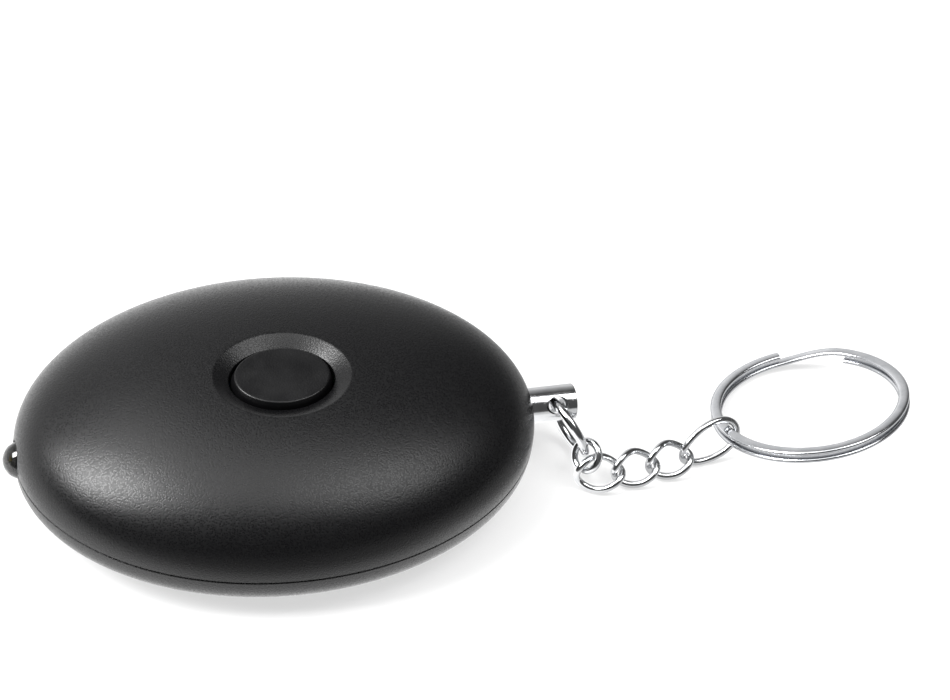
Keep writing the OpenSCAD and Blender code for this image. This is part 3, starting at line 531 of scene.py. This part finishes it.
lamp = {
    "radius": 2.5 * mm, "flange": 2.9 * mm, "flangeDepth": 1 * mm, "noseSteps": 20,
    "cupAt": 3.4 * mm, "cupSide": -0.35 * mm, "cupRadius": 0.85 * mm, "cupFloor": 0.45 * mm,
    "cupDepth": 0.5 * mm, "cupLip": 0.15 * mm, "cupFoot": 0.1 * mm, "cupLength": 1.2 * mm,
    "chip": 0.3 * mm, "chipFront": 0.2 * mm, "chipTop": 0.14 * mm,
    "post": 0.25 * mm, "postSoft": 0.1 * mm, "postEnd": 0.05 * mm,
}
lampLow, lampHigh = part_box("led_bulb")
lampTip, lampBack = lampLow.x, lampHigh.x
lampAxis = axisFrame(Vector((0, 0, partingZ)), Vector((1, 0, 0)))


def lampProfile():
    r, steps = lamp["radius"], lamp["noseSteps"]
    turns = [math.pi / 2 * i / steps for i in range(steps + 1)]
    nose = [(max(pole, r * math.sin(t)), lampTip + r - r * math.cos(t)) for t in turns]
    back = lampBack - lamp["flangeDepth"]
    return nose + [(r, back), (lamp["flange"], back), (lamp["flange"], lampBack), (pole, lampBack)]


lens = lathe("lampLens", lampProfile(), lampAxis, 72, sharpAngle=40)
dress(lens, "case", clearEpoxy, "clear_lens", "led_bulb")
cupX = lampTip + lamp["cupAt"]
cupFloorX, cupBackX = cupX + lamp["cupDepth"], cupX + lamp["cupLength"]
cupAxis = axisFrame(Vector((0, lamp["cupSide"], partingZ)), Vector((1, 0, 0)))
cupLip, cupFoot = lamp["cupRadius"] + lamp["cupLip"], lamp["cupRadius"] + lamp["cupFoot"]
cupProfile = [
    (pole, cupFloorX), (lamp["cupFloor"], cupFloorX), (lamp["cupRadius"], cupX),
    (cupLip, cupX), (cupFoot, cupBackX), (pole, cupBackX)]
cup = lathe("lampCup", cupProfile, cupAxis, 40)
dress(cup, "case", stock["matteSilverFrame"], "steel")
chipProfile = [
    (lamp["chip"], cupFloorX), (lamp["chip"], cupX + lamp["chipFront"]), (pole, cupX + lamp["chipTop"])]
chip = lathe("lampChip", chipProfile, cupAxis, 24)
dress(chip, "case", stock["yellowPhosphor"], "white_part")
# sideways place, and start behind the rim of the cup
posts = {"lampPostCup": (-0.9 * mm, 1.1 * mm), "lampPostWire": (0.95 * mm, 0.4 * mm)}
for name, (side, start) in posts.items():
    front = cupX + start
    postProfile = [
        (pole, front), (lamp["post"], front + lamp["postSoft"]), (lamp["post"], lampBack - lamp["postEnd"])]
    post = lathe(name, postProfile, axisFrame(Vector((0, side, partingZ)), Vector((1, 0, 0))), 20)
    dress(post, "case", stock["matteSilverFrame"], "steel")
print("button and lamp built")


# pull pin

pin = {
    "radius": 2.4 * mm, "edge": 0.2 * mm, "edgeSteps": 6,
    "holeRadius": 1.15 * mm, "holeSoft": 0.3 * mm, "holeFlare": 2.2,
}
pinLow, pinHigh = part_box("pull_pin")
hole = joints["jump_ring_swing"]
holePlace, holeAxis = Vector(hole["pos_m"]), Vector(hole["axis"])


def pinProfile():
    r, e = pin["radius"], pin["edge"]
    start = [(pole, pinLow.x), (r - e, pinLow.x), (r, pinLow.x + e)]
    end = [(r + d, pinHigh.x + z) for d, z in bend((0, -e), (0, 0), (-e, 0), pin["edgeSteps"])]
    return start + end + [(pole, pinHigh.x)]


pullPin = lathe("pullPin", pinProfile(), lampAxis, 96)
r, s, reach = pin["holeRadius"], pin["holeSoft"], pin["radius"]
mouth = r + pin["holeFlare"] * s
straight = math.sqrt(reach ** 2 - r ** 2) - s / 2
crossProfile = [(mouth, -reach - s), (r, -straight), (r, straight), (mouth, reach + s)]
crossDrill = lathe("crossDrill", crossProfile, axisFrame(holePlace, holeAxis, Vector((1, 0, 0))), 64)
cut(pullPin, [crossDrill])
dress(pullPin, "pull_pin", nickelPlate, "chrome", "pull_pin")


# rings and links of round wire, each closed by a butted seam

wire = {
    "jump": 0.6 * mm, "link": 0.475 * mm, "rings": 96, "sides": 20,
    "seam": 0.05 * mm, "jumpSeam": 0, "connectorSeam": 200, "linkSeam": 12,
}


def wireLoop(name, point, radius, seamAt):
    # point gives the centre line for an angle; the wire starts and ends at the seam, given in degrees
    steps, small = wire["rings"], 1e-3
    marks = [point(2 * math.pi * i / steps) for i in range(steps + 1)]
    around = sum((b - a).length for a, b in zip(marks, marks[1:]))
    gap = 2 * math.pi * wire["seam"] / around
    start = math.radians(seamAt) + gap / 2
    angles = [start + (2 * math.pi - gap) * i / steps for i in range(steps + 1)]
    path = [point(a) for a in angles]
    tangents = [point(a + small) - point(a - small) for a in angles]
    middle = sum(path, Vector()) / len(path)
    outward = [p - middle for p in path]
    rings = wireRings(path, tangents, outward, roundSection(radius, wire["sides"]))
    return skin(name, rings, sharpAngle=50)


def flatRing(centre, axisX, axisY, radius):
    return lambda a: centre + axisX * (radius * math.cos(a)) + axisY * (radius * math.sin(a))


jumpCentre = boxCentre("jump_ring")
jumpOut = (jumpCentre - holePlace).normalized()
jumpFar = Vector(joints["connector_ring_swing"]["pos_m"])
jumpRadius = (jumpFar - jumpCentre).length
jumpLine = flatRing(jumpCentre, jumpOut, holeAxis, jumpRadius)
jumpRing = wireLoop("jumpRing", jumpLine, wire["jump"], wire["jumpSeam"])
dress(jumpRing, "jump_ring", nickelPlate, "chrome", "jump_ring")

connector = np.array([v.co for v in nodes["connector_ring"].data.vertices])
connectorCentre = boxCentre("connector_ring")
directions = np.linalg.eigh(np.cov((connector - np.array(connectorCentre)).T))[1]
connectorX, connectorY = Vector(directions[:, 2]), Vector(directions[:, 1])
connectorReach = np.linalg.norm(connector - np.array(connectorCentre), axis=1).max()
connectorLine = flatRing(connectorCentre, connectorX, connectorY, connectorReach - wire["link"])
connectorRing = wireLoop("connectorRing", connectorLine, wire["link"], wire["connectorSeam"])
dress(connectorRing, "connector_ring", nickelPlate, "chrome", "connector_ring")

# a link's far end is where the next piece swings; its wire there lies along that joint's axis
links = {
    "chain_link_1": {"next": "chain_link_2_swing", "width": 4.45 * mm, "near": 40, "far": -40},
    "chain_link_2": {"next": "chain_link_3_swing", "width": 4.45 * mm, "near": 40, "far": -40},
    "chain_link_3": {"next": "end_link_swing", "width": 4.45 * mm, "near": 40, "far": -40},
    "end_link": {"next": "split_ring_swing", "width": 5.6 * mm, "near": 41, "far": 17},
}


def twistedLoop(node, look):
    centre = Vector(np.mean([v.co for v in nodes[node].data.vertices], axis=0))
    end, axis = Vector(joints[look["next"]]["pos_m"]), Vector(joints[look["next"]]["axis"])
    along = end - centre
    half = along.length
    ex = along.normalized()
    flat = Matrix.Rotation(-math.radians(look["far"]), 3, ex) @ axis
    ey = (flat - ex * flat.dot(ex)).normalized()
    ez = ex.cross(ey)

    def point(a):
        s = (1 + math.cos(a)) / 2
        turn = math.radians(look["near"] * (1 - s) + look["far"] * s)
        y = look["width"] / 2 * math.sin(a)
        return centre + ex * (half * math.cos(a)) + ey * (y * math.cos(turn)) + ez * (y * math.sin(turn))
    return point


for node, look in links.items():
    name = node.replace("_l", "L").replace("_", "")
    link = wireLoop(name, twistedLoop(node, look), wire["link"], wire["linkSeam"])
    dress(link, node, nickelPlate, "chrome", node)


# split ring: one flat wire in two turns

ring = {
    "radius": 12.75 * mm, "width": 1.5 * mm, "height": 0.7 * mm, "gap": 0.44 * mm,
    "climb": 20, "climbAt": 60, "step": 3, "nudge": 0.1,
}
ringAxis = Vector(mounts["key_ring"]["axis"]).normalized()
ringCentre = Vector(mounts["key_ring"]["pos_m"])
linkEnd = Vector(joints["split_ring_swing"]["pos_m"])
towards = ringCentre - linkEnd
towards.z = 0
ringX = (towards - ringAxis * towards.dot(ringAxis)).normalized()
ringY = ringAxis.cross(ringX)


def flatSection(width, height, power=2.7, sides=28):
    # flattened round wire: full at the edges, gently crowned on its faces
    points = []
    for i in range(sides):
        c, d = math.cos(2 * math.pi * i / sides), math.sin(2 * math.pi * i / sides)
        u = width / 2 * math.copysign(abs(c) ** (2 / power), c)
        v = height / 2 * math.copysign(abs(d) ** (2 / power), d)
        points.append((u, v))
    return points


def ringPath(a):
    s = min(1, max(0, (a - 360 + ring["climb"]) / (2 * ring["climb"])))
    rise = (ring["height"] + ring["gap"]) * (0.5 - s * s * (3 - 2 * s))
    t = math.radians(a + ring["climbAt"])
    along, across = ringX * (ring["radius"] * math.cos(t)), ringY * (ring["radius"] * math.sin(t))
    return ringCentre + along + across + ringAxis * rise


angles = np.arange(ring["climb"], 720 - ring["climb"] + ring["nudge"], ring["step"])
path = [ringPath(a) for a in angles]
outward = [(p - ringCentre) - ringAxis * (p - ringCentre).dot(ringAxis) for p in path]
tangents = [ringPath(a + ring["nudge"]) - ringPath(a - ring["nudge"]) for a in angles]
flatWire = wireRings(path, tangents, outward, flatSection(ring["width"], ring["height"]))
splitRing = skin("splitRing", flatWire, sharpAngle=50)
dress(splitRing, "split_ring", springSteel, "chrome", "split_ring")
print("pin, chain and ring built")


# case screws: domed heads with a cross recess, deep in their wells

def crossCutter(x, y, turn):
    width, reach = screw["crossWidth"], screw["crossReach"]
    a, top = math.radians(turn), screw["seat"] - screw["height"]
    u, v = Vector((math.cos(a), math.sin(a), 0)), Vector((-math.sin(a), math.cos(a), 0))
    corners = (-1, -1), (1, -1), (1, 1), (-1, 1)
    rings = []
    for z, taper in ((top - screw["crossOver"], 1.0), (top + screw["crossDepth"], screw["crossTaper"])):
        base = Vector((x, y, z))
        rings.append([base + u * (reach * taper * p) + v * (width * q) for p, q in corners])
    return skin("crossCutter", rings)


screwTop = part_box("case_screws")[1].z
for i, (x, y) in enumerate(screwPlaces):
    top, seat, r = screw["seat"] - screw["height"], screw["seat"], screw["headRadius"]
    profile = [(pole, top)] + [(r * share, top + drop) for share, drop in screw["dome"]]
    profile += [(r, seat), (screw["shank"], seat)]
    profile += [(screw["shank"], screwTop - screw["tip"]), (screw["tip"], screwTop)]
    head = lathe(f"caseScrew{i + 1}", profile, upright(x, y), 48)
    turn = screw["crossTurn"] + screw["nextTurn"] * i
    cut(head, [crossCutter(x, y, turn), crossCutter(x, y, turn + 90)])
    dress(head, "case", stock["zincPlatedSteel"], "steel")
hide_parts("case_screws")


# inner pieces keep their CAD shapes

innerFinishes = {
    "switch_plunger": "blackMouldingEpoxy", "switch_body": "zincPlatedSteel",
    "circuit_board": "solderMaskOnGlassEpoxy", "driver_chip": "blackMouldingEpoxy",
    "transistor": "blackMouldingEpoxy", "boost_coil": "sinteredFerrite",
    "capacitor": "blueShrinkSleeve", "resistors": "blackMouldingEpoxy", "led_leads": "tinnedCopperLead",
    "piezo_plate": "rolledBrassSheet", "piezo_ceramic": "firedCeramic", "piezo_foam": "closedCellFoam",
    "button_cells": "stainlessCellCan", "battery_tray": "mattAbsInside", "contact_plates": "zincPlatedSteel",
    "contact_spring": "zincPlatedSteel", "pin_socket": "mattAbsInside",
    "contact_leaf_upper": "rolledBrassSheet", "contact_leaf_lower": "rolledBrassSheet",
    "pin_tip": "whiteAcetal", "board_screws": "zincPlatedSteel", "lead_wires": "softPvcInsulation",
}
for node, finish in innerFinishes.items():
    nodes[node].data.materials.clear()
    nodes[node].data.materials.append(stock[finish])
print("inner pieces finished:", len(innerFinishes))


# stage: pale floor, soft lamps, and a room that is darker in front than behind

stageLook = {
    "floor": "#f4f4f4", "floorSize": 1.6, "floorX": 0.02, "floorDrop": 0.05 * mm,
    "floorNear": 2.2, "floorFront": 0.3, "frontFrom": -45 * mm, "frontTo": -24 * mm,
    "floorChain": 0.75, "chainFrom": 32 * mm, "chainTo": 46 * mm, "seenGlow": 0.6, "mirrorGlow": 0.9,
    "fill": 0.4, "front": 0.1, "horizon": 1.5, "ceiling": 0.85, "ceilingFrom": 0.5,
    "bright": (-0.5, 0.85, 0), "brightFrom": 0.3, "brightTo": 0.85, "lampDistance": 0.6,
}
floorFinish = bpy.data.materials.new("whiteSweep")
floorFinish.use_nodes = True
tree = floorFinish.node_tree
tree.nodes.clear()
ray = addNode(tree, "ShaderNodeLightPath")
plain = addNode(tree, "ShaderNodeBsdfDiffuse", {"Color": linear(stageLook["floor"])})
glow = addNode(tree, "ShaderNodeEmission", {"Color": grey(1), "Strength": 1.0})
where = addNode(tree, "ShaderNodeTexCoord")
side = addNode(tree, "ShaderNodeSeparateXYZ", None, {0: (where, "Object")})
# mirrored, the floor glows under the body and is dimmer in front of it and beside the chain
frontPool = {
    "From Min": stageLook["frontFrom"], "From Max": stageLook["frontTo"],
    "To Min": stageLook["floorFront"], "To Max": stageLook["floorNear"],
}
near = addNode(tree, "ShaderNodeMapRange", frontPool, {"Value": (side, "Y")})
chainPool = {"From Min": stageLook["chainFrom"], "From Max": stageLook["chainTo"]}
far = addNode(tree, "ShaderNodeMapRange", chainPool, {"Value": (side, "X")})
chainGlow = {"data_type": "FLOAT", 3: stageLook["floorChain"]}
pools = addNode(tree, "ShaderNodeMix", chainGlow, {0: (far, 0), 2: (near, 0)})
sheen = addNode(tree, "ShaderNodeEmission", {"Color": grey(1)}, {"Strength": (pools, 0)})
seenShare = {"operation": "MULTIPLY", 1: stageLook["seenGlow"]}
half = addNode(tree, "ShaderNodeMath", seenShare, {0: (ray, "Is Camera Ray")})
mirrorShare = {"operation": "MULTIPLY", 1: stageLook["mirrorGlow"]}
most = addNode(tree, "ShaderNodeMath", mirrorShare, {0: (ray, "Is Glossy Ray")})
seen = addNode(tree, "ShaderNodeMixShader", None, {0: (half, 0), 1: (plain, "BSDF"), 2: (glow, "Emission")})
mixed = addNode(tree, "ShaderNodeMixShader", None, {0: (most, 0), 1: (seen, 0), 2: (sheen, "Emission")})
# clear from below, so that the underside can be looked at
facing = addNode(tree, "ShaderNodeNewGeometry")
clear = addNode(tree, "ShaderNodeBsdfTransparent")
sides = {0: (facing, "Backfacing"), 1: (mixed, 0), 2: (clear, 0)}
oneSided = addNode(tree, "ShaderNodeMixShader", None, sides)
addNode(tree, "ShaderNodeOutputMaterial", None, {"Surface": (oneSided, 0)})

reach = stageLook["floorSize"] / 2
corners = []
for u, v in ((1, -1), (1, 1), (-1, 1), (-1, -1)):
    corners.append((stageLook["floorX"] + u * reach, v * reach, -stageLook["floorDrop"]))
mesh = bpy.data.meshes.new("floor")
mesh.from_pydata(corners, [], [(0, 1, 2, 3)])
mesh.materials.append(floorFinish)
piece = bpy.data.objects.new("floor", mesh)
bpy.context.scene.collection.objects.link(piece)

world = bpy.data.worlds.new("studio")
bpy.context.scene.world = world
world.use_nodes = True
tree = world.node_tree
tree.nodes.clear()
ray = addNode(tree, "ShaderNodeLightPath")
where = addNode(tree, "ShaderNodeTexCoord")
side = addNode(tree, "ShaderNodeSeparateXYZ", None, {0: (where, "Generated")})
backdrop = {
    "From Min": 0.0, "From Max": stageLook["ceilingFrom"],
    "To Min": stageLook["horizon"], "To Max": stageLook["ceiling"],
}
rear = addNode(tree, "ShaderNodeMapRange", backdrop, {"Value": (side, "Z")})
brightSide = {"operation": "DOT_PRODUCT", 1: stageLook["bright"]}
lean = addNode(tree, "ShaderNodeVectorMath", brightSide, {0: (where, "Generated")})
brightening = {"From Min": stageLook["brightFrom"], "From Max": stageLook["brightTo"]}
behind = addNode(tree, "ShaderNodeMapRange", brightening, {"Value": (lean, "Value")})
frontTone = {"data_type": "FLOAT", 2: stageLook["front"]}
room = addNode(tree, "ShaderNodeMix", frontTone, {0: (behind, 0), 3: (rear, 0)})
mirrored = addNode(tree, "ShaderNodeBackground", {"Color": grey(1)}, {"Strength": (room, 0)})
fill = addNode(tree, "ShaderNodeBackground", {"Color": grey(1), "Strength": stageLook["fill"]})
white = addNode(tree, "ShaderNodeBackground", {"Color": grey(1), "Strength": 1.0})
lit = addNode(tree, "ShaderNodeMixShader", None, {0: (ray, "Is Glossy Ray"), 1: (fill, 0), 2: (mirrored, 0)})
mixed = addNode(tree, "ShaderNodeMixShader", None, {0: (ray, "Is Camera Ray"), 1: (lit, 0), 2: (white, 0)})
addNode(tree, "ShaderNodeOutputWorld", None, {"Surface": (mixed, 0)})

# azimuth from +X, elevation above the floor
softLamps = {
    "leftSoftbox": {"azimuth": 177, "elevation": 51, "size": (0.28, 0.35), "watts": 7.6},
    "leftFill": {"azimuth": 121, "elevation": 61, "size": (0.22, 0.22), "watts": 0.5},
    "rightSoftbox": {"azimuth": -18, "elevation": 62, "size": (0.29, 0.29), "watts": 1.6},
    "topSoftbox": {"azimuth": -90, "elevation": 89, "size": (0.4, 0.4), "watts": 1.25},
}
for name, look in softLamps.items():
    data = bpy.data.lights.new(name, "AREA")
    data.shape = "RECTANGLE"
    data.size, data.size_y = look["size"]
    data.energy = look["watts"]
    lampObject = bpy.data.objects.new(name, data)
    az, el = math.radians(look["azimuth"]), math.radians(look["elevation"])
    towards = Vector((math.cos(el) * math.cos(az), math.cos(el) * math.sin(az), math.sin(el)))
    lampObject.location = towards * stageLook["lampDistance"]
    lampObject.rotation_euler = towards.to_track_quat("Z", "Y").to_euler()
    bpy.context.scene.collection.objects.link(lampObject)

# camera round the point it aims at, where the photograph was taken from
camera = {
    "aim": (29.04 * mm, 10.81 * mm, 8 * mm), "azimuth": 19.81, "elevation": 46.60, "distance": 352.73 * mm,
    "roll": 8.89, "lens": 98.89, "sensor": 36, "clip": 0.01,
}
az, el, roll = (math.radians(camera[k]) for k in ("azimuth", "elevation", "roll"))
back = Vector((-math.sin(az) * math.cos(el), -math.cos(az) * math.cos(el), math.sin(el)))
right = Vector((math.cos(az), -math.sin(az), 0))
up = back.cross(right)
tiltedRight = right * math.cos(roll) + up * math.sin(roll)
tiltedUp = up * math.cos(roll) - right * math.sin(roll)
cameraData = bpy.data.cameras.new("camera")
cameraData.lens = camera["lens"]
cameraData.sensor_width = camera["sensor"]
cameraData.clip_start = camera["clip"]
cameraObject = bpy.data.objects.new("camera", cameraData)
cameraPlace = Matrix.Translation(Vector(camera["aim"]) + back * camera["distance"])
cameraTurn = Matrix((tiltedRight, tiltedUp, back)).transposed().to_4x4()
cameraObject.matrix_world = cameraPlace @ cameraTurn
bpy.context.scene.collection.objects.link(cameraObject)
bpy.context.scene.camera = cameraObject
bpy.context.scene.view_settings.view_transform = "Standard"

print("scene ready")
